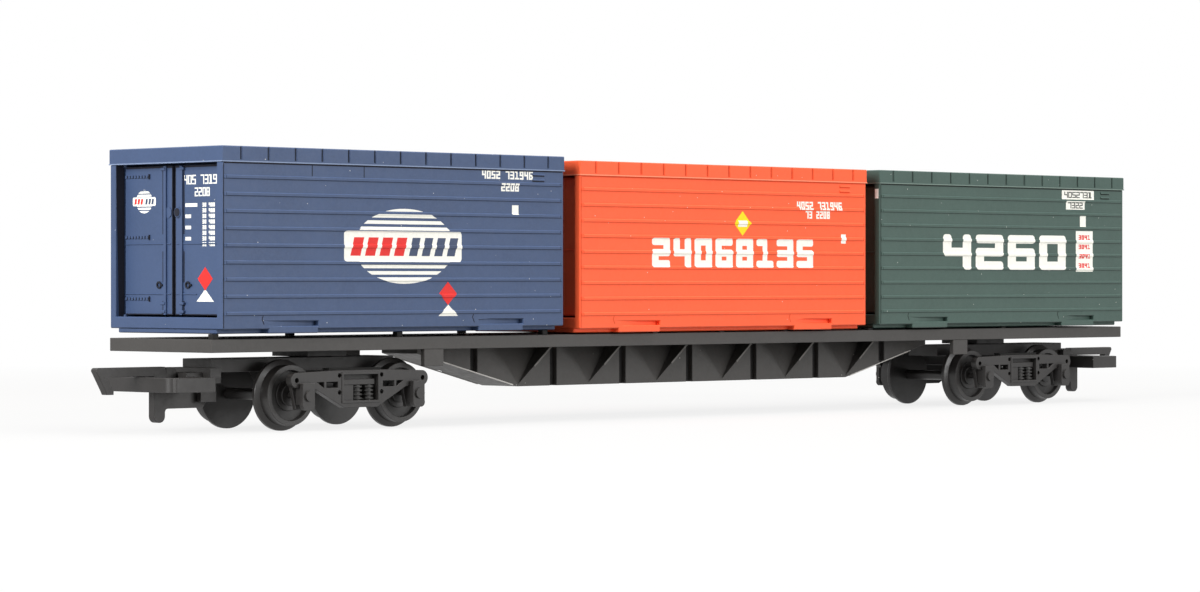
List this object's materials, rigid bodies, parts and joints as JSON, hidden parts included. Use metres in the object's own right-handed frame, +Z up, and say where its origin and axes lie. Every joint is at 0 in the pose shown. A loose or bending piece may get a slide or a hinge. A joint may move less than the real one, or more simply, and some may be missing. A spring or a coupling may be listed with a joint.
{
  "type": "toy model bogie flat wagon with containers",
  "caption": "Toy railway bogie flat wagon for 16.5 mm track, carrying hollow box containers with opening end doors; bogies swivel and coupling hooks lift.",
  "frame": {"origin": "at the lowest point of the wheels, under the middle of the wagon", "axes": "+X along the wagon towards the end away from the container doors, +Y across, +Z up"},
  "size_m": [0.2786, 0.0308, 0.0485],
  "materials": {
    "chassis_plastic": "satin moulded",
    "wheel_plastic": "satin moulded",
    "pin_metal": "plain",
    "blue_plastic": "satin moulded",
    "orange_plastic": "satin moulded",
    "green_plastic": "satin moulded"
  },
  "bodies": {
    "wagon": {"deck_frame": "chassis_plastic", "spine_girder": "chassis_plastic", "side_boxes": "chassis_plastic", "container_seats": "chassis_plastic", "left_bogie_pivot": "chassis_plastic", "right_bogie_pivot": "chassis_plastic", "blue_container_body": "blue_plastic", "blue_container_roof": "blue_plastic", "orange_container_body": "orange_plastic", "orange_container_roof": "orange_plastic", "green_container_body": "green_plastic", "green_container_roof": "green_plastic"},
    "left_bogie": {"left_bogie_frame": "chassis_plastic", "left_bogie_springs": "chassis_plastic", "left_coupling_loop": "chassis_plastic", "left_hook_pin": "pin_metal"},
    "left_hook": {"left_coupling_hook": "chassis_plastic"},
    "left_outer_wheelset_body": {"left_outer_wheelset": "wheel_plastic"},
    "left_inner_wheelset_body": {"left_inner_wheelset": "wheel_plastic"},
    "right_bogie": {"right_bogie_frame": "chassis_plastic", "right_bogie_springs": "chassis_plastic", "right_coupling_loop": "chassis_plastic", "right_hook_pin": "pin_metal"},
    "right_hook": {"right_coupling_hook": "chassis_plastic"},
    "right_outer_wheelset_body": {"right_outer_wheelset": "wheel_plastic"},
    "right_inner_wheelset_body": {"right_inner_wheelset": "wheel_plastic"},
    "blue_near_door_leaf": {"blue_near_door": "blue_plastic"},
    "blue_far_door_leaf": {"blue_far_door": "blue_plastic"},
    "orange_near_door_leaf": {"orange_near_door": "orange_plastic"},
    "orange_far_door_leaf": {"orange_far_door": "orange_plastic"},
    "green_near_door_leaf": {"green_near_door": "green_plastic"},
    "green_far_door_leaf": {"green_far_door": "green_plastic"}
  },
  "joints": [
    {"name": "left_bogie_swivel", "type": "hinge", "parent": "wagon", "child": "left_bogie", "pos_m": [-0.0921, 0, 0.0125], "axis": [0, 0, 1], "range_deg": [-30, 30]},
    {"name": "left_hook_lift", "type": "hinge", "parent": "left_bogie", "child": "left_hook", "pos_m": [-0.1166, 0, 0.0074], "axis": [0, 1, 0], "range_deg": [0, 14]},
    {"name": "left_outer_wheels_turn", "type": "hinge", "parent": "left_bogie", "child": "left_outer_wheelset_body", "pos_m": [-0.1048, 0, 0.00615], "axis": [0, 1, 0], "continuous": true},
    {"name": "left_inner_wheels_turn", "type": "hinge", "parent": "left_bogie", "child": "left_inner_wheelset_body", "pos_m": [-0.0794, 0, 0.00615], "axis": [0, 1, 0], "continuous": true},
    {"name": "right_bogie_swivel", "type": "hinge", "parent": "wagon", "child": "right_bogie", "pos_m": [0.0921, 0, 0.0125], "axis": [0, 0, 1], "range_deg": [-30, 30]},
    {"name": "right_hook_lift", "type": "hinge", "parent": "right_bogie", "child": "right_hook", "pos_m": [0.1166, 0, 0.0074], "axis": [0, -1, 0], "range_deg": [0, 14]},
    {"name": "right_outer_wheels_turn", "type": "hinge", "parent": "right_bogie", "child": "right_outer_wheelset_body", "pos_m": [0.1048, 0, 0.00615], "axis": [0, 1, 0], "continuous": true},
    {"name": "right_inner_wheels_turn", "type": "hinge", "parent": "right_bogie", "child": "right_inner_wheelset_body", "pos_m": [0.0794, 0, 0.00615], "axis": [0, 1, 0], "continuous": true},
    {"name": "blue_near_door_swing", "type": "hinge", "parent": "wagon", "child": "blue_near_door_leaf", "pos_m": [-0.1223, -0.01335, 0.0319], "axis": [0, 0, 1], "range_deg": [0, 90]},
    {"name": "blue_far_door_swing", "type": "hinge", "parent": "wagon", "child": "blue_far_door_leaf", "pos_m": [-0.1223, 0.01335, 0.0319], "axis": [0, 0, -1], "range_deg": [0, 90]},
    {"name": "orange_near_door_swing", "type": "hinge", "parent": "wagon", "child": "orange_near_door_leaf", "pos_m": [-0.0381, -0.01335, 0.0313], "axis": [0, 0, 1], "range_deg": [0, 20]},
    {"name": "orange_far_door_swing", "type": "hinge", "parent": "wagon", "child": "orange_far_door_leaf", "pos_m": [-0.0381, 0.01335, 0.0313], "axis": [0, 0, -1], "range_deg": [0, 20]},
    {"name": "green_near_door_swing", "type": "hinge", "parent": "wagon", "child": "green_near_door_leaf", "pos_m": [0.0461, -0.01335, 0.03135], "axis": [0, 0, 1], "range_deg": [0, 20]},
    {"name": "green_far_door_swing", "type": "hinge", "parent": "wagon", "child": "green_far_door_leaf", "pos_m": [0.0461, 0.01335, 0.03135], "axis": [0, 0, -1], "range_deg": [0, 20]}
  ]
}
